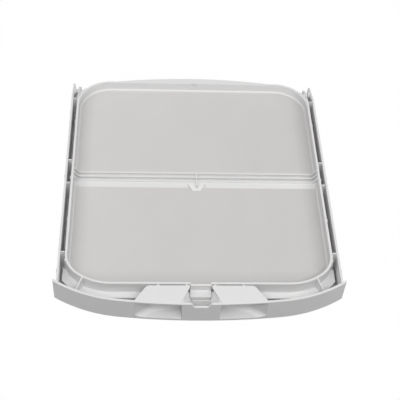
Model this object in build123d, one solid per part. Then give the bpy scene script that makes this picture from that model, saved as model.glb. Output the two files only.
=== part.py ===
from build123d import *
import os
from math import asin, cos, degrees, radians, sin, sqrt

# Every length is in millimetres.
# While a piece is built, X runs to the right and Z up. Y runs from the handle to the hinge end.
# Y is zero on the centre line of the leaf's near wall. The last section centres the part.

# Handle fascia, bowed in plan: a wide middle arc that runs into a tighter arc at either end
fascia_height = 29.0
fascia_wall = 2.6
fascia_reach = 26.5
fascia_middle_radius = 780.0
fascia_end_radius = 152.0
fascia_join_x = 84.0
fascia_overhang = 3.3

# Leaf tray, measured between the centre lines of its walls: plain far corners, near corners of two arcs
tray_width = 277.2
tray_length = 297.5
tray_corner = 39.0
near_radius = 56.0
near_end_radius = 31.0
near_turn = 40.0
leaf_wall = 2.4
leaf_bottom = 12.0
tray_depth = 8.5
tray_draft = 1.3
ledge_width = 1.6
ledge_fall = 1.5
ledge_thick = 1.5

# Woven mesh sheets
mesh_thick = 0.4
leaf_mesh_bite = 2.2
casing_mesh_bite = 4.0

# Ribbed crossbar, which both frames have at the same place
bar_offset = 2.65
bar_drop = 8.2
bar_pitch = 5.95
bar_rib = 2.4
bar_ramp_length = 7.4
bar_ramp_drop = 1.1
bar_ramp_sag = 0.3
bar_toe = 0.15
bar_gusset_drop = 0.5
bar_gusset_run = 5.8
bar_half_width = 6.0
bar_stiffener = 1.8
bar_stiffener_top = 9.0

# Fin and small arrow boss in the middle of the crossbar
fin_thick = 1.5
fin_rise = 0.9
fin_reach = 6.8
arrow_far_half_width = 9.6
arrow_near_half_width = 4.4
arrow_wing_width = 6.2
arrow_foot = 2.9
arrow_far_inset = 4.8
arrow_length = 7.2
arrow_far_rise = 1.5
arrow_near_rise = 0.3

# Brim round the near end of the leaf, with a stiffening rib at each corner
brim_top = 14.3
brim_thick = 2.0
brim_depth = 8.5
brim_spread = 11.0
brim_end_y = 28.0
brim_gap = 1.2
brim_side_gap = 2.4
brim_plate_gap = 0.8
corner_rib = 1.4
corner_rib_angle = 30.5
corner_rib_reach = 13.5
corner_rib_fall = 7.6

# Spring tongue of the latch and the cheeks of the well it lies in
tongue_wall = 1.8
tongue_half_width = 10.8
tongue_root_half_width = 10.6
tongue_jog = 2.0
tongue_sink = 0.3
tongue_flat_top = 20.0
tongue_flat_end = 11.3
tongue_tab_gap = 1.8
tongue_tab_half_width = 9.5
tongue_tab_drop = 1.2
tongue_tab_lean = 1.4
tongue_tab_edge = 0.6
tongue_round = 1.2
tongue_lift = 0.5
cheek_gap = 0.5
cheek_top = 25.6
cheek_thick = 2.0

# Bowed lip and skirt on the far wall of the leaf, and the small notch in its middle
lip_reach = 9.0
lip_middle_radius = 620.0
lip_end_radius = 75.0
lip_join_x = 100.0
lip_thick = 2.0
lip_step = 0.8
skirt_half_width = 90.0
skirt_bottom = 7.0
far_notch_half_width = 4.4
far_notch_top_half_width = 1.4
far_notch_height = 3.4
far_notch_depth = 1.2

# Beads along the outside of the leaf's side walls
bead_radius = 1.1
bead_bottom = 15.0
bead_drop = 0.6
bead_near_ys = (29.2, 83.8)
bead_bar_offsets = (-8.7, 14.0)
bead_far_inset = 68.0

# Casing shell
casing_wall = 2.2
side_channel = 4.7
far_gap = 5.8
floor_thick = 2.2
floor_far_inset = 1.0
floor_corner_x = 112.0
window_margin = 10.0
chamber_wall = 1.8
chamber_gap = 0.4
threshold_top = 3.6
threshold_wall = 2.2
far_cut_inset = 13.5

# Ribs in the side channels and guide beads outside the side walls
slot_rib = 1.3
slot_rib_gap = 0.5
slot_rib_drop = 0.6
slot_rib_near_y = 39.3
slot_rib_bar_offsets = (-16.4, 17.3)
slot_rib_far_inset = 28.5
guide_radius = 0.8
guide_bottom = 6.0
guide_drop = 1.0
guide_near_y = 16.5
guide_bar_offset = -5.8

# Sloped ends of the side walls and of the leaf's ears
slope_length = 27.5
casing_tip_z = 19.0
ear_thick = 3.2
ear_overrun = 0.0
ear_tip_z = 20.4
ear_foot_run = 4.0
ear_web_thick = 2.0
ear_web_inset = 10.5
ear_web_width = 30.0

# Hinge
hinge_inset = 6.5
hinge_z = 18.0
hinge_pin_radius = 2.3
hinge_clearance = 0.08
pin_end_gap = 0.3
pin_boss_radius = 3.6
pin_boss_length = 1.8
hole_boss_radius = 4.6
hole_boss_length = 1.9

# Grip plates between the fascia and the leaf
plate_thick = 1.8
plate_far_y = 3.0
plate_tongue_gap = 0.5
plate_inner_turn_y = 4.7
plate_inner_slope = 0.462
plate_outer_x = 54.8
plate_outer_slope = 0.69
plate_corner = 6.0
nib_xs = (14.5, 43.4)
nib_width = 2.4
nib_gap = 0.5
nib_root = 1.0

# Scooped finger pockets under the plates, deepest at their inner ends and slanted at their outer ends
pocket_inner_x = 19.4
pocket_turn_x = 52.0
pocket_outer_x = 67.0
pocket_depth = 19.0
pocket_turn_depth = 12.0
pocket_end_depth = 0.6
pocket_floor = 2.8
pocket_round = 6.0
pocket_wall = 2.0

# Thumb notch over the latch
notch_half_width = 10.0
notch_bottom_half_width = 7.0
notch_depth = 5.5

# Sizes that follow
leaf_side_x = tray_width / 2 + leaf_wall / 2
casing_inner_x = leaf_side_x + side_channel
casing_side_x = casing_inner_x + casing_wall / 2
casing_outer_x = casing_inner_x + casing_wall
fascia_half_width = casing_outer_x + fascia_overhang
fascia_front_y = -fascia_reach
ahead_y = 2 * fascia_front_y
rim_top = fascia_height
wall_foot_z = rim_top - tray_depth
ledge_top = wall_foot_z - ledge_fall
ledge_bottom = ledge_top - ledge_thick
leaf_mesh_z = ledge_bottom + (ledge_thick - mesh_thick) / 2
casing_mesh_z = (floor_thick - mesh_thick) / 2
wall_foot_inset = leaf_wall / 2 + tray_draft
ledge_inset = wall_foot_inset + ledge_width
rib_top = rim_top - bar_drop
bar_y = tray_length / 2 + bar_offset
bar_near_y = bar_y - bar_pitch
bar_far_y = bar_y + bar_pitch
lip_front_y = tray_length + lip_reach
casing_end_y = tray_length + leaf_wall / 2 + far_gap
floor_end_y = tray_length - floor_far_inset
far_cut_y = tray_length - far_cut_inset
slope_start_y = tray_length - slope_length
ear_inner_x = leaf_side_x - ear_thick
ear_end_y = tray_length + ear_overrun
hinge_y = tray_length - hinge_inset
bead_ys = [*bead_near_ys, *(bar_y + offset for offset in bead_bar_offsets), tray_length - bead_far_inset]
slot_rib_bar_ys = [bar_y + offset for offset in slot_rib_bar_offsets]
slot_rib_ys = [slot_rib_near_y, *slot_rib_bar_ys, tray_length - slot_rib_far_inset]
guide_ys = [guide_near_y, bar_y + guide_bar_offset]
near_turn_sine = sin(radians(near_turn))
near_turn_cosine = cos(radians(near_turn))
near_end_x = tray_width / 2 - near_end_radius
near_end_y = near_radius - (near_radius - near_end_radius) * near_turn_cosine
near_arc_x = near_end_x - (near_radius - near_end_radius) * near_turn_sine
plate_bottom = fascia_height - plate_thick
plate_inner_x = tongue_half_width + plate_tongue_gap
chamber_top = leaf_bottom - chamber_gap


def tray_plan(grow, z):
    """The leaf's outline, moved outwards by grow, at height z."""
    near = Line((0, -grow), (near_arc_x, -grow))
    first = JernArc(near @ 1, near % 1, near_radius + grow, near_turn)
    second = JernArc(first @ 1, first % 1, near_end_radius + grow, 90 - near_turn)
    side = Line(second @ 1, ((second @ 1).X, tray_length - tray_corner))
    far = JernArc(side @ 1, side % 1, tray_corner + grow, 90)
    half = near + first + second + side + far + Line(far @ 1, (0, tray_length + grow))
    return Pos(0, 0, z) * make_face(half + mirror(half, about=Plane.YZ))


def bow_plan(middle_radius, end_radius, join_x, inset):
    """The area behind a bowed edge, moved inwards by inset: a middle arc, end arcs, straight sides."""
    turn = degrees(asin(join_x / middle_radius))
    middle = JernArc((0, inset), (1, 0), middle_radius - inset, turn)
    end = JernArc(middle @ 1, middle % 1, end_radius - inset, 90 - turn)
    side = Polyline(end @ 1, ((end @ 1).X, middle_radius), (0, middle_radius))
    half = middle + end + side
    return make_face(half + mirror(half, about=Plane.YZ))


def behind_fascia(inset, z0, z1):
    """All that lies behind the fascia's front face, moved inwards by inset."""
    plan = bow_plan(fascia_middle_radius, fascia_end_radius, fascia_join_x, inset)
    return extrude(Pos(0, fascia_front_y, z0) * plan, z1 - z0)


def block(x0, x1, y0, y1, z0, z1):
    """A box between the given limits."""
    middle = Pos((x0 + x1) / 2, (y0 + y1) / 2, (z0 + z1) / 2)
    return middle * Box(x1 - x0, y1 - y0, z1 - z0)


def across_lines(lines, x0, x1):
    """A prism along X from x0 to x1, with a closed outline drawn in Y and Z."""
    plane = Plane(origin=(x0, 0, 0), x_dir=(0, 1, 0), z_dir=(1, 0, 0))
    return extrude(plane * make_face(lines), x1 - x0)


def across(points, x0, x1):
    """A prism along X from x0 to x1, with corners given as Y and Z."""
    return across_lines(Polyline(*points, close=True), x0, x1)


def along(points, y0, y1):
    """A prism along Y from y0 to y1, with corners given as X and Z."""
    plane = Plane(origin=(0, y1, 0), x_dir=(1, 0, 0), z_dir=(0, -1, 0))
    return extrude(plane * make_face(Polyline(*points, close=True)), y1 - y0)


def upright(points, z0, z1):
    """A prism along Z from z0 to z1, with corners given as X and Y."""
    return extrude(Pos(0, 0, z0) * make_face(Polyline(*points, close=True)), z1 - z0)


def rod_x(radius, x0, x1, y, z):
    """A round bar along X."""
    return Pos((x0 + x1) / 2, y, z) * Rot(0, 90, 0) * Cylinder(radius, x1 - x0)


def rod_z(radius, x, y, z0, z1):
    """A round bar along Z."""
    return Pos(x, y, (z0 + z1) / 2) * Cylinder(radius, z1 - z0)


def both_sides(solid):
    """A solid and its mirror image across the middle plane."""
    return solid + mirror(solid, about=Plane.YZ)


def slanted_wall(y0, y1, z0, tip_z, x0, x1):
    """A side wall whose top slopes down past slope_start_y."""
    corners = [(y0, z0), (y1, z0), (y1, tip_z), (slope_start_y, rim_top), (y0, rim_top)]
    return across(corners, x0, x1)


def outer_edge_x(y, outset):
    """X of the slanted outer edge of the right-hand grip plate at depth y, moved outwards by outset."""
    return plate_outer_x + outset - plate_outer_slope * (y + plate_far_y)


# Leaf tray with drafted inner walls that end in a sloped ledge round the mesh
leaf = extrude(tray_plan(leaf_wall / 2, leaf_bottom), rim_top - leaf_bottom)
inner_mouth = tray_plan(-leaf_wall / 2, rim_top)
inner_foot = tray_plan(-wall_foot_inset, wall_foot_z)
ledge_edge = tray_plan(-ledge_inset, ledge_top)
leaf -= loft([inner_foot, inner_mouth], ruled=True)
leaf -= loft([ledge_edge, inner_foot], ruled=True)
leaf -= extrude(tray_plan(-ledge_inset, ledge_bottom), ledge_thick)
leaf -= extrude(tray_plan(-leaf_wall / 2, leaf_bottom), ledge_bottom - leaf_bottom)

# Crossbar: three ribs with gussets at their ends, with the mesh between them and a ramp on the handle's side
mouth_x = tray_width / 2 - leaf_wall / 2
gusset_top = rim_top - bar_gusset_drop
gusset_foot_x = mouth_x - bar_gusset_run
rib_outline = [
    (-tray_width / 2, ledge_bottom),
    (tray_width / 2, ledge_bottom),
    (tray_width / 2, gusset_top),
    (mouth_x, gusset_top),
    (gusset_foot_x, rib_top),
    (-gusset_foot_x, rib_top),
    (-mouth_x, gusset_top),
    (-tray_width / 2, gusset_top),
]
for rib_y in (bar_near_y, bar_y, bar_far_y):
    leaf += along(rib_outline, rib_y - bar_rib / 2, rib_y + bar_rib / 2)
toe_z = leaf_mesh_z + mesh_thick + bar_toe
ramp_head_z = rib_top - bar_ramp_drop
ramp_head_y = bar_near_y - bar_rib / 2
ramp_toe_y = ramp_head_y - bar_ramp_length
bar_lines = SagittaArc((ramp_toe_y, toe_z), (ramp_head_y, ramp_head_z), -bar_ramp_sag)
bar_lines += Polyline(
    (ramp_head_y, ramp_head_z),
    (bar_near_y, ramp_head_z),
    (bar_near_y, leaf_mesh_z),
    (bar_far_y, leaf_mesh_z),
    (bar_far_y, ledge_bottom),
    (ramp_toe_y, ledge_bottom),
    (ramp_toe_y, toe_z),
)
leaf += across_lines(bar_lines, -tray_width / 2, tray_width / 2)

# Fin and arrow boss in the middle of the crossbar
fin_near_y = ramp_head_y - fin_reach
fin_near_z = ramp_head_z - (ramp_head_z - toe_z) * fin_reach / bar_ramp_length + fin_rise
fin_outline = [
    (fin_near_y, ledge_bottom),
    (bar_far_y, ledge_bottom),
    (bar_far_y, rib_top + fin_rise),
    (ramp_head_y, rib_top + fin_rise),
    (fin_near_y, fin_near_z),
]
leaf += across(fin_outline, -fin_thick / 2, fin_thick / 2)
arrow_far_y = ramp_head_y - arrow_far_inset
arrow_near_y = arrow_far_y - arrow_length
arrow_half = [
    (0, arrow_near_y),
    (arrow_near_half_width, arrow_near_y),
    (arrow_far_half_width, arrow_far_y),
    (arrow_far_half_width - arrow_wing_width, arrow_far_y),
    (fin_thick / 2, arrow_near_y + arrow_foot),
    (0, arrow_near_y + arrow_foot),
]
arrow_slope = [
    (arrow_near_y, ledge_bottom),
    (arrow_far_y, ledge_bottom),
    (arrow_far_y, rib_top + arrow_far_rise),
    (arrow_near_y, toe_z + arrow_near_rise),
]
arrow = both_sides(upright(arrow_half, ledge_bottom, rim_top))
leaf += arrow & across(arrow_slope, -arrow_far_half_width, arrow_far_half_width)

# Brim round the near end, cut back beside the grip plates, and its corner ribs
brim_bottom = brim_top - brim_thick
brim_x = casing_inner_x - brim_side_gap
beside_plate = [
    (0, 0),
    (outer_edge_x(0, brim_plate_gap), 0),
    (outer_edge_x(ahead_y, brim_plate_gap), ahead_y),
    (0, ahead_y),
]
brim = extrude(tray_plan(brim_spread, brim_bottom), brim_thick)
brim &= behind_fascia(fascia_wall + brim_gap, 0, rim_top)
brim &= block(-brim_x, brim_x, -brim_depth, brim_end_y, 0, rim_top)
brim -= both_sides(upright(beside_plate, 0, rim_top))
brim -= extrude(tray_plan(0, 0), rim_top)
leaf += brim
corner_rib_end = -near_radius - corner_rib_reach
corner_outline = [
    (-near_radius, brim_bottom),
    (corner_rib_end, brim_bottom),
    (corner_rib_end, rim_top - corner_rib_fall),
    (-near_radius - leaf_wall / 2, rim_top),
    (-near_radius, rim_top),
]
corner_blade = across(corner_outline, -corner_rib / 2, corner_rib / 2)
leaf += both_sides(Pos(near_arc_x, near_radius, 0) * Rot(0, 0, corner_rib_angle) * corner_blade)

# Spring tongue: the rim steps out, turns into a flat, drops and rises again as a leaning thumb tab
near_face = leaf_wall / 2
root_near = near_face + tongue_jog
root_far = near_face - tongue_sink
root_x = tongue_root_half_width
flat_x = tongue_half_width
tab_x = tongue_tab_half_width
step_x = root_x - tongue_sink
leaf -= block(-step_x, step_x, -root_far, wall_foot_inset, wall_foot_z + tongue_sink, rim_top)
leaf += block(-root_x, root_x, -root_near, -root_far, ledge_bottom, rim_top - tongue_sink)
tongue_low = leaf_bottom + tongue_lift
flat_bottom = tongue_flat_top - tongue_wall
leaf += block(-flat_x, flat_x, -tongue_flat_end, -root_far, flat_bottom, tongue_flat_top)
tab_foot_y = fascia_front_y + fascia_wall + tongue_tab_gap
tab_top_y = tab_foot_y + tongue_tab_lean
tab_top = rim_top - tongue_tab_drop
tongue_drop_far = -tongue_flat_end + tongue_wall
tab_section = [
    (tongue_drop_far, tongue_low),
    (tongue_drop_far, tongue_flat_top),
    (-tongue_flat_end, tongue_flat_top),
    (-tongue_flat_end, tongue_low + tongue_wall),
    (tab_top_y + tongue_wall, tongue_low + tongue_wall),
    (tab_top_y + tongue_tab_edge, tab_top),
    (tab_top_y, tab_top),
    (tab_foot_y, tongue_low),
]
leaf += across(tab_section, -tab_x, tab_x)
cove = [
    (-root_near - tongue_round, tongue_flat_top),
    (-root_near, tongue_flat_top),
    (-root_near, tongue_flat_top + tongue_round),
]
cove_fill = across(cove, -root_x, root_x)
cove_fill -= rod_x(tongue_round, -tray_width, tray_width, cove[0][0], cove[2][1])
leaf += cove_fill

# Bowed lip and skirt on the far wall, with the small notch in the rim
lip_plan = bow_plan(lip_middle_radius, lip_end_radius, lip_join_x, 0)
lip_low = rim_top - lip_step - lip_thick
lip = extrude(Pos(0, lip_front_y, lip_low) * Rot(0, 0, 180) * lip_plan, lip_thick)
lip &= block(-ear_inner_x, ear_inner_x, tray_length - tray_corner, lip_front_y, 0, rim_top)
lip -= extrude(tray_plan(0, 0), rim_top)
leaf += lip
skirt_y = (tray_length - leaf_wall / 2, tray_length + leaf_wall / 2)
leaf += block(-skirt_half_width, skirt_half_width, *skirt_y, skirt_bottom, ledge_bottom)
far_inner_y = tray_length - leaf_wall / 2
far_notch = [
    (-far_notch_half_width, rim_top - far_notch_height),
    (far_notch_half_width, rim_top - far_notch_height),
    (far_notch_top_half_width, rim_top),
    (-far_notch_top_half_width, rim_top),
]
leaf -= along(far_notch, far_inner_y - tray_draft, far_inner_y + far_notch_depth)

# Beads along the side walls
for bead_y in bead_ys:
    lag = max(near_end_y - bead_y, 0)
    bead_x = near_end_x + sqrt((near_end_radius + leaf_wall / 2) ** 2 - lag ** 2)
    leaf += both_sides(rod_z(bead_radius, bead_x, bead_y, bead_bottom, rim_top - bead_drop))

# Hinge ears with their webs and stub pins
ear_foot_y = tray_length - tray_corner - ear_foot_run
ear = slanted_wall(ear_foot_y, ear_end_y, leaf_bottom, ear_tip_z, ear_inner_x, leaf_side_x)
web_span = (ear_inner_x - ear_web_width, leaf_side_x, ear_foot_y, tray_length - ear_web_inset)
web = block(*web_span, leaf_bottom, leaf_bottom + ear_web_thick)
ear += web - extrude(tray_plan(0, 0), rim_top)
pin_end_x = casing_outer_x - pin_end_gap
ear += rod_x(hinge_pin_radius, ear_inner_x, pin_end_x, hinge_y, hinge_z)
ear += rod_x(pin_boss_radius, ear_inner_x, leaf_side_x + pin_boss_length, hinge_y, hinge_z)
ear -= extrude(tray_plan(-leaf_wall / 2, 0), rim_top)
leaf += both_sides(ear)

# Leaf mesh, moulded into the ledge and the crossbar
leaf_mesh = extrude(tray_plan(leaf_mesh_bite - ledge_inset, leaf_mesh_z), mesh_thick)
leaf -= leaf_mesh

# Casing floor with its window and crossbar, longer in the far corners
casing = block(-casing_outer_x, casing_outer_x, ahead_y, floor_end_y, 0, floor_thick)
casing &= behind_fascia(fascia_wall / 2, 0, floor_thick)
casing += both_sides(block(floor_corner_x, casing_outer_x, far_cut_y, casing_end_y, 0, floor_thick))
panes = extrude(tray_plan(-window_margin, 0), floor_thick)
panes -= block(-tray_width, tray_width, bar_y - bar_half_width, bar_y + bar_half_width, 0, floor_thick)
casing -= panes

# Bowed fascia
fascia = behind_fascia(0, 0, fascia_height) - behind_fascia(fascia_wall, 0, fascia_height)
fascia &= block(-fascia_half_width, fascia_half_width, ahead_y, bar_y, 0, fascia_height)
casing += fascia

# Side walls with sloped far ends, ribs, guide beads and hinge holes
side = slanted_wall(ahead_y, casing_end_y, 0, casing_tip_z, casing_inner_x, casing_outer_x)
side &= behind_fascia(fascia_wall / 2, 0, fascia_height)
for guide_y in guide_ys:
    side += rod_z(guide_radius, casing_outer_x, guide_y, guide_bottom, rim_top - guide_drop)
for rib_y in slot_rib_ys:
    rib_x = leaf_side_x + slot_rib_gap
    rib_span = (rib_y - slot_rib / 2, rib_y + slot_rib / 2)
    side += block(rib_x, casing_side_x, *rib_span, 0, rim_top - slot_rib_drop)
boss_x = casing_inner_x - hole_boss_length
side += rod_x(hole_boss_radius, boss_x, casing_side_x, hinge_y, hinge_z)
side -= rod_x(hinge_pin_radius + hinge_clearance, leaf_side_x, fascia_half_width, hinge_y, hinge_z)
casing += both_sides(side)

# Threshold at the floor's far edge, which leaves the lip room to swing down behind it
casing += block(-casing_side_x, casing_side_x, floor_end_y - threshold_wall, floor_end_y, 0, threshold_top)

# Chamber wall under the leaf's wall, lower at the far end where the leaf swings down
chamber = extrude(tray_plan(chamber_wall / 2, floor_thick / 2), chamber_top - floor_thick / 2)
chamber -= extrude(tray_plan(-chamber_wall / 2, 0), fascia_height)
chamber -= block(-tray_width, tray_width, far_cut_y, lip_front_y, threshold_top, fascia_height)
chamber -= block(-tray_width, tray_width, floor_end_y, lip_front_y, 0, fascia_height)
casing += chamber
bar_span = (bar_y - bar_stiffener / 2, bar_y + bar_stiffener / 2)
casing += block(-tray_width / 2, tray_width / 2, *bar_span, floor_thick / 2, bar_stiffener_top)

# Grip plates with nibs
plate_turn_x = plate_inner_x - plate_inner_slope * (ahead_y + plate_inner_turn_y)
plate_lines = Polyline(
    (plate_inner_x, -plate_inner_turn_y),
    (plate_inner_x, -plate_far_y),
    (plate_outer_x, -plate_far_y),
    (outer_edge_x(ahead_y, 0), ahead_y),
    (plate_turn_x, ahead_y),
    close=True,
)
plate_face = make_face(plate_lines)
plate_tip = plate_face.vertices().sort_by_distance((plate_outer_x, -plate_far_y, 0))[0]
plate = extrude(Pos(0, 0, plate_bottom) * fillet(plate_tip, plate_corner), plate_thick)
for nib_x in nib_xs:
    nib_span = (nib_x - nib_width / 2, nib_x + nib_width / 2, -plate_far_y - nib_root, -near_face - nib_gap)
    plate += block(*nib_span, plate_bottom, fascia_height)

# Scooped pockets: a shell under each plate, then the hollow with its rounded back
pocket_back_y = fascia_front_y + pocket_depth
pocket_turn_y = fascia_front_y + pocket_turn_depth
pocket_sag = fascia_middle_radius - sqrt(fascia_middle_radius ** 2 - pocket_outer_x ** 2)
pocket_end_y = fascia_front_y + pocket_sag + pocket_end_depth
pocket_lines = Polyline(
    (pocket_inner_x, ahead_y),
    (pocket_inner_x, pocket_back_y),
    (pocket_turn_x, pocket_turn_y),
    (pocket_outer_x, pocket_end_y),
    (pocket_outer_x, ahead_y),
    close=True,
)
pocket_face = make_face(pocket_lines)
shell = extrude(offset(pocket_face, pocket_wall, kind=Kind.INTERSECTION), plate_bottom + plate_thick / 2)
hollow = extrude(Pos(0, 0, pocket_floor) * pocket_face, plate_bottom - pocket_floor)
back_middle = ((pocket_inner_x + pocket_turn_x) / 2, (pocket_back_y + pocket_turn_y) / 2, pocket_floor)
end_middle = ((pocket_turn_x + pocket_outer_x) / 2, (pocket_turn_y + pocket_end_y) / 2, pocket_floor)
back_edges = [hollow.edges().sort_by_distance(middle)[0] for middle in (back_middle, end_middle)]
hollow = fillet(back_edges, pocket_round)

# Cheek beside the latch, which slopes from the pocket down under the edge of the tongue's flat
cheek_inner_x = tab_x + cheek_gap
cheek_slope = (cheek_top - flat_bottom + cheek_gap) / (pocket_inner_x - flat_x)
cheek_low = cheek_top - cheek_slope * (pocket_inner_x - cheek_inner_x)
cheek_section = [
    (cheek_inner_x, cheek_low),
    (pocket_inner_x, cheek_top),
    (pocket_inner_x, cheek_top - cheek_thick),
    (cheek_inner_x, cheek_low - cheek_thick),
]
cheek = along(cheek_section, ahead_y, -root_near - cheek_gap)
grip = (plate + shell + cheek) & behind_fascia(fascia_wall / 2, 0, fascia_height)
casing += both_sides(grip)
casing -= both_sides(hollow)

# Thumb notch over the latch
thumb_notch = [
    (-notch_half_width, fascia_height),
    (-notch_bottom_half_width, fascia_height - notch_depth),
    (notch_bottom_half_width, fascia_height - notch_depth),
    (notch_half_width, fascia_height),
]
casing -= along(thumb_notch, ahead_y, fascia_front_y + 2 * fascia_wall)

# Casing mesh, moulded into the floor and the crossbar
casing_mesh = extrude(tray_plan(casing_mesh_bite - window_margin, casing_mesh_z), mesh_thick)
casing -= casing_mesh

# All pieces are moved so that the part stands centred on the origin
far_end_y = max(lip_front_y, casing_end_y)
middle_y = (fascia_front_y + far_end_y) / 2
pieces = {
    "casing_frame": casing,
    "leaf_frame": leaf,
    "leaf_mesh": leaf_mesh,
    "casing_mesh": casing_mesh,
}
os.makedirs("parts", exist_ok=True)
for name, piece in pieces.items():
    solids = (Pos(0, -middle_y, 0) * piece).solids()
    whole = solids[0] if len(solids) == 1 else Compound(solids)
    whole.label = name
    export_step(whole, f"parts/{name}.step")
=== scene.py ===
import logging
import math
from dataclasses import dataclass, field
from enum import Enum

import bpy
from mathutils import Matrix, Vector

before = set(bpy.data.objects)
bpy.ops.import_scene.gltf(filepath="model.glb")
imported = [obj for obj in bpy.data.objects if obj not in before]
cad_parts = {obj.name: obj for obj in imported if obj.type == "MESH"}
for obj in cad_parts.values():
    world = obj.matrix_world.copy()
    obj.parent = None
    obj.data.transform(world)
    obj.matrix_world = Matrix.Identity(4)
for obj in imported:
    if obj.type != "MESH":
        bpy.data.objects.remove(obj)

Colour = tuple[float, float, float]
Place = tuple[float, float, float]
Socket = bpy.types.NodeSocket

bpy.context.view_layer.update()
MILLIMETRE = 0.001
WHITE = (1.0, 1.0, 1.0, 1.0)
LOG = logging.getLogger("lint_filter")


class Edge(Enum):
    """Radius with which the edges of a moulded piece are shaded, in metres."""

    SHELL = 0.45 * MILLIMETRE
    RIB = 0.35 * MILLIMETRE


@dataclass
class NodeGraph:
    """A material's or world's node tree, with short ways to add nodes to it."""

    tree: bpy.types.NodeTree

    @classmethod
    def of(cls, owner: bpy.types.Material | bpy.types.World) -> "NodeGraph":
        """Starts an empty node tree.

        Args:
            owner: The material or world that the tree belongs to.

        Returns:
            The empty tree.
        """
        owner.use_nodes = True
        owner.node_tree.nodes.clear()
        return cls(owner.node_tree)

    def add(self, kind: str, **settings: object) -> bpy.types.Node:
        """Adds a node.

        Args:
            kind: The node's type name.
            settings: Properties to set on the node.

        Returns:
            The new node.
        """
        node = self.tree.nodes.new(kind)
        for name, value in settings.items():
            setattr(node, name, value)
        return node

    def plug(self, target: Socket, source: Socket | float) -> None:
        """Feeds an input from an output, or sets it to a number.

        Args:
            target: The input socket.
            source: An output socket or a plain number.
        """
        if isinstance(source, (int, float)):
            target.default_value = source
        else:
            self.tree.links.new(source, target)

    def math(self, operation: str, *inputs: Socket | float) -> Socket:
        """Adds a Math node.

        Args:
            operation: The operation's name.
            inputs: Sockets or numbers, in the node's order.

        Returns:
            The result.
        """
        node = self.add("ShaderNodeMath", operation=operation)
        for target, source in zip(node.inputs, inputs):
            self.plug(target, source)
        return node.outputs[0]

    def spread(self, value: Socket, low: float, high: float) -> Socket:
        """Maps a value from 0 to 1 onto a range.

        Args:
            value: The value to map.
            low: Result at 0.
            high: Result at 1.

        Returns:
            The mapped value.
        """
        return self.math("MULTIPLY_ADD", value, high - low, low)

    def within(self, value: Socket, low: float, high: float) -> Socket:
        """Holds a value between two limits.

        Args:
            value: The value to hold.
            low: Lower limit.
            high: Upper limit.

        Returns:
            The held value.
        """
        return self.math("MINIMUM", self.math("MAXIMUM", value, low), high)

    def place(self) -> Socket:
        """Object coordinates, which are metres in the shared frame."""
        return self.add("ShaderNodeTexCoord").outputs["Object"]

    def apart(self, vector: Socket) -> tuple[Socket, Socket, Socket]:
        """Takes a vector apart.

        Args:
            vector: The vector.

        Returns:
            Its X, Y and Z.
        """
        node = self.add("ShaderNodeSeparateXYZ")
        self.plug(node.inputs[0], vector)
        return node.outputs["X"], node.outputs["Y"], node.outputs["Z"]

    def noise(self, vector: Socket, scale: float, detail: float, roughness: float = 0.5) -> Socket:
        """Adds a Noise texture.

        Args:
            vector: Where the noise is read.
            scale: Features a metre.
            detail: Octaves of finer noise.
            roughness: Strength of the finer octaves.

        Returns:
            The noise value, from 0 to 1.
        """
        node = self.add("ShaderNodeTexNoise")
        self.plug(node.inputs["Vector"], vector)
        node.inputs["Scale"].default_value = scale
        node.inputs["Detail"].default_value = detail
        node.inputs["Roughness"].default_value = roughness
        return node.outputs["Fac"]

    def tint(self, factor: Socket, colour: Colour, reach: float) -> Socket:
        """Makes a colour darker and lighter by the same share.

        Args:
            factor: 0 gives the darkest tone, 1 the lightest.
            colour: The middle tone.
            reach: How far the tones go either way, as a share.

        Returns:
            The toned colour.
        """
        node = self.add("ShaderNodeMix", data_type="RGBA")
        self.plug(node.inputs["Factor"], factor)
        node.inputs["A"].default_value = (*(channel * (1 - reach) for channel in colour), 1.0)
        node.inputs["B"].default_value = (*(channel * (1 + reach) for channel in colour), 1.0)
        return next(out for out in node.outputs if out.type == "RGBA")

    def scaled(self, colour: Socket, factor: Socket) -> Socket:
        """Scales a colour's brightness.

        Args:
            colour: The colour.
            factor: What it is multiplied by.

        Returns:
            The scaled colour.
        """
        node = self.add("ShaderNodeVectorMath", operation="SCALE")
        self.plug(node.inputs[0], colour)
        self.plug(node.inputs["Scale"], factor)
        return node.outputs[0]

    def rounded(self, radius: float, samples: int) -> Socket:
        """Adds a Bevel node, which shades sharp edges as if they were rounded.

        Args:
            radius: Radius of the edges in metres.
            samples: Rays that look for an edge.

        Returns:
            The rounded normal.
        """
        node = self.add("ShaderNodeBevel", samples=samples)
        node.inputs["Radius"].default_value = radius
        return node.outputs["Normal"]

    def bump(self, height: Socket, strength: float, distance: float, base: Socket | None = None) -> Socket:
        """Adds a Bump node.

        Args:
            height: Height value.
            strength: How much of the bump shows.
            distance: Height of the bump in metres.
            base: The normal that the bump stands on, if not the surface's own.

        Returns:
            The bumped normal.
        """
        node = self.add("ShaderNodeBump")
        node.inputs["Strength"].default_value = strength
        node.inputs["Distance"].default_value = distance
        self.plug(node.inputs["Height"], height)
        if base is not None:
            self.plug(node.inputs["Normal"], base)
        return node.outputs["Normal"]

    def mixed(self, factor: Socket, first: bpy.types.Node, second: bpy.types.Node) -> bpy.types.Node:
        """Mixes two shaders.

        Args:
            factor: 0 gives the first shader, 1 the second.
            first: First shader.
            second: Second shader.

        Returns:
            The mixing node.
        """
        node = self.add("ShaderNodeMixShader")
        self.plug(node.inputs[0], factor)
        self.plug(node.inputs[1], first.outputs[0])
        self.plug(node.inputs[2], second.outputs[0])
        return node

    def show(self, shader: bpy.types.Node, output: str = "ShaderNodeOutputMaterial") -> None:
        """Feeds a shader to the tree's output.

        Args:
            shader: The shader node.
            output: Type name of the output node.
        """
        self.plug(self.add(output).inputs["Surface"], shader.outputs[0])


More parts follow.
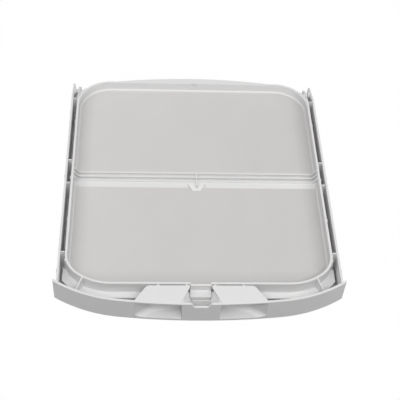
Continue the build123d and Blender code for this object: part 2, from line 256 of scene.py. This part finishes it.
@dataclass(frozen=True)
class PaintedWallShade:
    """Painted shade that darkens the colour towards the walls inside the leaf's tray, where the walls'
    shade falls.

    Attributes:
        amount: Share of the brightness that is lost at a wall.
        run: How far from a wall the painted shade reaches.
        side_wall: Distance of the side walls from the middle.
        near_wall: Place of the wall at the handle, if the painted shade lies along it.
        bottom: Height under which there is no painted shade.
        top: Height over which there is no painted shade.
        fade: Depth under the top in which the painted shade fades out.
    """

    amount: float = 0.17
    run: float = 20.0 * MILLIMETRE
    side_wall: float = 137.9 * MILLIMETRE
    near_wall: float | None = None
    bottom: float = 17.5 * MILLIMETRE
    top: float = 28.6 * MILLIMETRE
    fade: float = 3.0 * MILLIMETRE

    def paint_shade(self, graph: NodeGraph, place: Socket, colour: Socket) -> Socket:
        """Darkens a colour with painted shade towards the tray's walls.

        Args:
            graph: The material's nodes.
            place: Place in the shared frame.
            colour: The colour without the painted shade.

        Returns:
            The colour with the painted shade.
        """
        across, along, up = graph.apart(place)
        clear = graph.math("SUBTRACT", self.side_wall, graph.math("ABSOLUTE", across))
        inside = graph.math("GREATER_THAN", clear, 0.0)
        if self.near_wall is not None:
            clear = graph.math("MINIMUM", clear, graph.math("SUBTRACT", along, self.near_wall))
        above = graph.math("GREATER_THAN", up, self.bottom)
        depth = graph.math("DIVIDE", graph.math("SUBTRACT", self.top, up), self.fade)
        below = graph.within(depth, 0.0, 1.0)
        where = graph.math("MULTIPLY", inside, graph.math("MULTIPLY", above, below))
        # Painted shade: the colour is darkened by up to amount at a wall, fading out over run from it.
        nearness = graph.math("SUBTRACT", 1.0, graph.math("DIVIDE", clear, self.run))
        share = graph.math("MULTIPLY", graph.math("MAXIMUM", nearness, 0.0), where)
        return graph.scaled(colour, graph.spread(share, 1.0, 1.0 - self.amount))


@dataclass(frozen=True)
class MouldedPlastic:
    """Satin light grey plastic with a fine moulded grain.

    Attributes:
        name: The material's name.
        edge: How far sharp edges look rounded.
        painted_shade: Painted shade towards the tray's walls, if any.
        colour: The plastic's middle tone.
        mottle: Share by which the tone varies.
        mottle_scale: Patches of tone a metre.
        mottle_detail: Octaves of finer patches.
        smear_scale: Patches of gloss a metre.
        smear_detail: Octaves of finer patches of gloss.
        roughness: Lowest and highest roughness.
        grain_scale: Bumps of the moulded grain a metre.
        grain_detail: Octaves of finer grain.
        grain_roughness: Strength of the finer grain.
        grain_height: Height of the grain.
        grain_strength: How much of the grain shows.
        edge_samples: Rays that look for an edge.
        refraction: Index of refraction.
    """

    name: str
    edge: Edge
    painted_shade: PaintedWallShade | None = None
    colour: Colour = (0.744, 0.739, 0.738)
    mottle: float = 0.018
    mottle_scale: float = 16.0
    mottle_detail: float = 3.0
    smear_scale: float = 60.0
    smear_detail: float = 4.0
    roughness: tuple[float, float] = (0.40, 0.52)
    grain_scale: float = 2400.0
    grain_detail: float = 3.0
    grain_roughness: float = 0.6
    grain_height: float = 0.03 * MILLIMETRE
    grain_strength: float = 0.25
    edge_samples: int = 6
    refraction: float = 1.46

    def material(self) -> bpy.types.Material:
        """Builds the material.

        Returns:
            A node material with mottled colour, uneven gloss, a grain and soft edges.
        """
        made = bpy.data.materials.new(self.name)
        graph = NodeGraph.of(made)
        place = graph.place()
        surface = graph.add("ShaderNodeBsdfPrincipled")
        mottle = graph.noise(place, self.mottle_scale, self.mottle_detail)
        colour = graph.tint(mottle, self.colour, self.mottle)
        # Painted shade, darker towards the tray's walls, where the finish has it.
        if self.painted_shade is not None:
            colour = self.painted_shade.paint_shade(graph, place, colour)
        graph.plug(surface.inputs["Base Color"], colour)
        smear = graph.noise(place, self.smear_scale, self.smear_detail)
        graph.plug(surface.inputs["Roughness"], graph.spread(smear, *self.roughness))
        grain = graph.noise(place, self.grain_scale, self.grain_detail, self.grain_roughness)
        soft_edge = graph.rounded(self.edge.value, self.edge_samples)
        normal = graph.bump(grain, self.grain_strength, self.grain_height, soft_edge)
        graph.plug(surface.inputs["Normal"], normal)
        surface.inputs["IOR"].default_value = self.refraction
        graph.show(surface)
        return made


@dataclass(frozen=True)
class WovenMesh:
    """Plain-woven filter mesh with open holes between its threads.

    Attributes:
        name: The material's name.
        painted_shade: Painted shade towards the tray's walls, if any.
        colour: The threads' middle tone.
        pitch: Distance from thread to thread.
        thread_share: Share of the pitch that a thread covers.
        thread_rise: How far threads rise and dip at crossings, in thread heights.
        thread_height: Height of a thread.
        thread_strength: How much of that height shows.
        uneven: Share by which the tone varies from crossing to crossing.
        cloud: Share by which the tone varies in soft patches.
        cloud_scale: Soft patches a metre.
        cloud_detail: Octaves of finer patches.
        painted_shading: Share a metre by which the tone is painted lighter and darker across and along the
            sheet, painted light and shade that is lighter towards the far left and darker towards the near
            right.
        tone_reach: The most that all of these may add up to.
        roughness: Roughness of the threads.
    """

    name: str
    painted_shade: PaintedWallShade | None = None
    colour: Colour = (0.678, 0.664, 0.657)
    pitch: float = 0.55 * MILLIMETRE
    thread_share: float = 0.74
    thread_rise: float = 0.5
    thread_height: float = 0.12 * MILLIMETRE
    thread_strength: float = 0.6
    uneven: float = 0.01
    cloud: float = 0.03
    cloud_scale: float = 22.0
    cloud_detail: float = 2.0
    painted_shading: tuple[float, float] = (-0.26, 0.28)
    tone_reach: float = 0.15
    roughness: float = 0.62

    def _threads(self, graph: NodeGraph, cross: Socket, run: Socket) -> tuple[Socket, Socket, Socket]:
        """One of the two sets of threads.

        Args:
            graph: The material's nodes.
            cross: Place across the threads, in pitches.
            run: Place along the threads, in pitches.

        Returns:
            Whether a thread is there, its height, and its number.
        """
        half = self.thread_share / 2
        number = graph.math("ROUND", cross)
        off = graph.math("ABSOLUTE", graph.math("SUBTRACT", cross, number))
        there = graph.math("LESS_THAN", off, half)
        fall = graph.math("POWER", graph.math("DIVIDE", off, half), 2.0)
        crown = graph.math("SQRT", graph.math("MAXIMUM", graph.math("SUBTRACT", 1.0, fall), 0.0))
        turn = graph.math("MULTIPLY", graph.math("ADD", run, number), math.pi)
        height = graph.math("MULTIPLY_ADD", graph.math("COSINE", turn), self.thread_rise, crown)
        return there, graph.math("MULTIPLY", height, there), number

    def _tone(self, graph: NodeGraph, place: Socket, crossing: Socket) -> Socket:
        """The threads' colour, with its painted light and shade across the sheet, before the painted shade
        at the walls.

        Args:
            graph: The material's nodes.
            place: Place in the shared frame.
            crossing: Numbers of the threads that cross there.

        Returns:
            The colour.
        """
        across, along, _ = graph.apart(place)
        dye = graph.add("ShaderNodeTexWhiteNoise", noise_dimensions="2D")
        graph.plug(dye.inputs["Vector"], crossing)
        cloud = graph.noise(place, self.cloud_scale, self.cloud_detail)
        tone = graph.spread(cloud, -self.cloud, self.cloud)
        tone = graph.math("ADD", tone, graph.spread(dye.outputs["Value"], -self.uneven, self.uneven))
        # Painted light and shade: lighter towards the far left of the sheet, darker towards the near
        # right.
        for metres, painted_shading in zip((across, along), self.painted_shading):
            tone = graph.math("MULTIPLY_ADD", metres, painted_shading, tone)
        factor = graph.math("MULTIPLY_ADD", tone, 1 / (2 * self.tone_reach), 0.5)
        return graph.tint(factor, self.colour, self.tone_reach)

    def material(self) -> bpy.types.Material:
        """Builds the material.

        Returns:
            A node material with threads in two directions and see-through holes.
        """
        made = bpy.data.materials.new(self.name)
        graph = NodeGraph.of(made)
        place = graph.place()
        across, along, _ = graph.apart(place)
        warp_cross = graph.math("DIVIDE", across, self.pitch)
        warp_run = graph.math("DIVIDE", along, self.pitch)
        # One pitch further, so that the weft dips where the warp rises.
        weft_cross = graph.math("ADD", warp_run, 1.0)
        warp, warp_height, warp_number = self._threads(graph, warp_cross, warp_run)
        weft, weft_height, weft_number = self._threads(graph, weft_cross, warp_cross)
        crossing = graph.add("ShaderNodeCombineXYZ")
        graph.plug(crossing.inputs["X"], warp_number)
        graph.plug(crossing.inputs["Y"], weft_number)
        colour = self._tone(graph, place, crossing.outputs[0])
        # Painted shade, darker towards the tray's walls, where the finish has it.
        if self.painted_shade is not None:
            colour = self.painted_shade.paint_shade(graph, place, colour)
        height = graph.math("MAXIMUM", warp_height, weft_height)
        surface = graph.add("ShaderNodeBsdfPrincipled")
        graph.plug(surface.inputs["Base Color"], colour)
        graph.plug(surface.inputs["Alpha"], graph.math("MAXIMUM", warp, weft))
        graph.plug(surface.inputs["Normal"], graph.bump(height, self.thread_strength, self.thread_height))
        surface.inputs["Roughness"].default_value = self.roughness
        graph.show(surface)
        return made


@dataclass
class SubAssembly:
    """A moulded frame with the woven mesh that is moulded into it.

    Attributes:
        body: The body that carries both pieces.
        frame_node: Name of the frame.
        mesh_node: Name of the mesh.
        plastic: Finish of the frame.
        weave: Finish of the mesh.
        cut: Width and length that the mesh is cut to, in metres; not used.
        cut_area: Flat area of the mesh with its round corners, in square metres; not used.
        pieces: The frame and the mesh, once they are built.
    """

    body: str
    frame_node: str
    mesh_node: str
    plastic: MouldedPlastic
    weave: WovenMesh
    cut: tuple[float, float]
    cut_area: float
    pieces: list[bpy.types.Object] = field(default_factory=list, init=False)

    def build(self) -> None:
        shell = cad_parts[self.frame_node]
        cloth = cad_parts[self.mesh_node]
        self.pieces = [shell, cloth]

    def dress(self) -> None:
        """Gives the frame and the mesh their finishes."""
        shell, cloth = self.pieces
        self._wear(shell, self.plastic.material())
        self._wear(cloth, self.weave.material())

    @staticmethod
    def _wear(piece: bpy.types.Object, material: bpy.types.Material) -> None:
        """Makes a material the only one on a piece.

        Args:
            piece: The piece to dress.
            material: Its finish.
        """
        for slot in piece.material_slots:
            slot.link = "OBJECT"
            slot.material = material


@dataclass
class Casing(SubAssembly):
    """The shallow casing with the pull handle, and the mesh in its floor."""

    body: str = "casing"
    frame_node: str = "casing_frame"
    mesh_node: str = "casing_mesh"
    plastic: MouldedPlastic = MouldedPlastic("casing_plastic", Edge.SHELL)
    weave: WovenMesh = WovenMesh("casing_weave")
    cut: tuple[float, float] = (0.2652, 0.2855)
    cut_area: float = 0.0747


@dataclass
class Leaf(SubAssembly):
    """The hinged leaf with the latch tongue, and the mesh in its tray."""

    body: str = "leaf"
    frame_node: str = "leaf_frame"
    mesh_node: str = "leaf_mesh"
    # The leaf's frame and mesh carry painted shade towards the tray's walls.
    plastic: MouldedPlastic = MouldedPlastic("leaf_plastic", Edge.RIB, PaintedWallShade())
    weave: WovenMesh = WovenMesh("leaf_weave", PaintedWallShade(near_wall=-136.4 * MILLIMETRE))
    cut: tuple[float, float] = (0.2734, 0.2937)
    cut_area: float = 0.07902


@dataclass(frozen=True)
class SoftBox:
    """A square lamp that faces the part.

    Attributes:
        name: The lamp's name.
        place: Where it stands, in metres.
        power: Its power in watts.
        size: Length of its side in metres.
    """

    name: str
    place: Place
    power: float
    size: float = 1.2

    def build(self) -> None:
        """Stands the lamp in its place."""
        data = bpy.data.lights.new(self.name, "AREA")
        data.shape = "SQUARE"
        data.size = self.size
        data.energy = self.power
        lamp = bpy.data.objects.new(self.name, data)
        lamp.location = self.place
        lamp.rotation_euler = Vector(self.place).to_track_quat("Z", "Y").to_euler()
        bpy.context.scene.collection.objects.link(lamp)


@dataclass
class Studio:
    """Pale floor, soft light and the camera.

    Attributes:
        floor_size: Side of the floor in metres.
        floor_drop: Gap between the part and the floor.
        floor_colour: How much light the floor throws back.
        floor_glow: How white the floor looks; the rest shows the part's shadow.
        sky: Brightness of the even light from all round.
        boxes: The lamps.
        eye: Place of the camera.
        elevation: How far the camera looks down, in degrees.
        yaw: How far the camera is turned about the vertical, in degrees.
        roll: How far the camera is tilted about its own line of sight, in degrees.
        focal_share: Focal length over the width of the picture.
        sensor: Width of the sensor in millimetres.
    """

    floor_size: float = 8.0
    floor_drop: float = 0.05 * MILLIMETRE
    floor_colour: Colour = (0.2, 0.2, 0.2)
    floor_glow: float = 0.995
    sky: float = 0.25
    boxes: tuple[SoftBox, ...] = (
        SoftBox("key_box", (0.10, -1.45, 2.28), 27.5),
        SoftBox("left_box", (-1.50, -0.87, 2.07), 11.5),
        SoftBox("right_box", (1.30, -1.10, 2.07), 10.0),
        SoftBox("low_left_box", (-2.21, 0.0, 1.55), 8.0),
        SoftBox("low_right_box", (2.21, 0.0, 1.55), 11.0),
        SoftBox("back_box", (0.0, 2.21, 1.55), 5.5),
    )
    eye: Place = (-0.05780, -0.66841, 0.78498)
    elevation: float = 49.676
    yaw: float = -5.392
    roll: float = 4.698
    focal_share: float = 905.4 / 400.0
    sensor: float = 36.0

    def build(self) -> None:
        """Makes the floor, the sky, the lamps and the camera."""
        self._floor()
        self._sky()
        for box in self.boxes:
            box.build()
        self._camera()
        bpy.context.scene.view_settings.view_transform = "Standard"

    @staticmethod
    def _seen(graph: NodeGraph) -> Socket:
        """Tells what is looked at from what only gives light.

        Args:
            graph: The nodes to add to.

        Returns:
            One for rays from the camera, a mirror or glass, else zero.
        """
        path = graph.add("ShaderNodeLightPath")
        shiny = graph.math("MAXIMUM", path.outputs["Is Glossy Ray"], path.outputs["Is Transmission Ray"])
        return graph.math("MAXIMUM", path.outputs["Is Camera Ray"], shiny)

    def _floor(self) -> None:
        """Makes a pale floor that keeps a faint shadow."""
        half = self.floor_size / 2
        corners = [(-half, -half, 0.0), (half, -half, 0.0), (half, half, 0.0), (-half, half, 0.0)]
        mesh = bpy.data.meshes.new("floor")
        mesh.from_pydata(corners, [], [(0, 1, 2, 3)])
        floor = bpy.data.objects.new("floor", mesh)
        floor.location.z = -self.floor_drop
        bpy.context.scene.collection.objects.link(floor)
        made = bpy.data.materials.new("pale_floor")
        graph = NodeGraph.of(made)
        paint = graph.add("ShaderNodeBsdfDiffuse")
        paint.inputs["Color"].default_value = (*self.floor_colour, 1.0)
        glow = graph.add("ShaderNodeEmission")
        glow.inputs["Color"].default_value = WHITE
        glowing = graph.math("MULTIPLY", self._seen(graph), self.floor_glow)
        graph.show(graph.mixed(glowing, paint, glow))
        mesh.materials.append(made)

    def _sky(self) -> None:
        """Makes an even sky that shows as white."""
        world = bpy.data.worlds.new("studio_sky")
        bpy.context.scene.world = world
        graph = NodeGraph.of(world)
        light = graph.add("ShaderNodeBackground")
        light.inputs["Color"].default_value = WHITE
        light.inputs["Strength"].default_value = self.sky
        backdrop = graph.add("ShaderNodeBackground")
        backdrop.inputs["Color"].default_value = WHITE
        graph.show(graph.mixed(self._seen(graph), light, backdrop), "ShaderNodeOutputWorld")

    def _camera(self) -> None:
        """Sets the camera at the photograph's viewing angle."""
        elevation, yaw, roll = (math.radians(turn) for turn in (self.elevation, self.yaw, self.roll))
        back = Vector((
            math.sin(yaw) * math.cos(elevation),
            -math.cos(yaw) * math.cos(elevation),
            math.sin(elevation),
        ))
        level = Vector((math.cos(yaw), math.sin(yaw), 0.0))
        rise = back.cross(level)
        right = level * math.cos(roll) + rise * math.sin(roll)
        up = rise * math.cos(roll) - level * math.sin(roll)
        data = bpy.data.cameras.new("camera")
        data.sensor_width = self.sensor
        data.lens = self.focal_share * self.sensor
        camera = bpy.data.objects.new("camera", data)
        bpy.context.scene.collection.objects.link(camera)
        turn = Matrix((right, up, back)).transposed().to_4x4()
        camera.matrix_world = Matrix.Translation(self.eye) @ turn
        bpy.context.scene.camera = camera


def main() -> None:
    """Builds and dresses the filter, then sets up the studio round it."""
    logging.basicConfig(level=logging.INFO, format="%(name)s: %(message)s")
    for part in (Casing(), Leaf()):
        part.build()
        part.dress()
        for piece in part.pieces:
            LOG.info("%s rides on %s, %d faces", piece.name, part.body, len(piece.data.polygons))
    Studio().build()


if __name__ == "__main__":
    main()
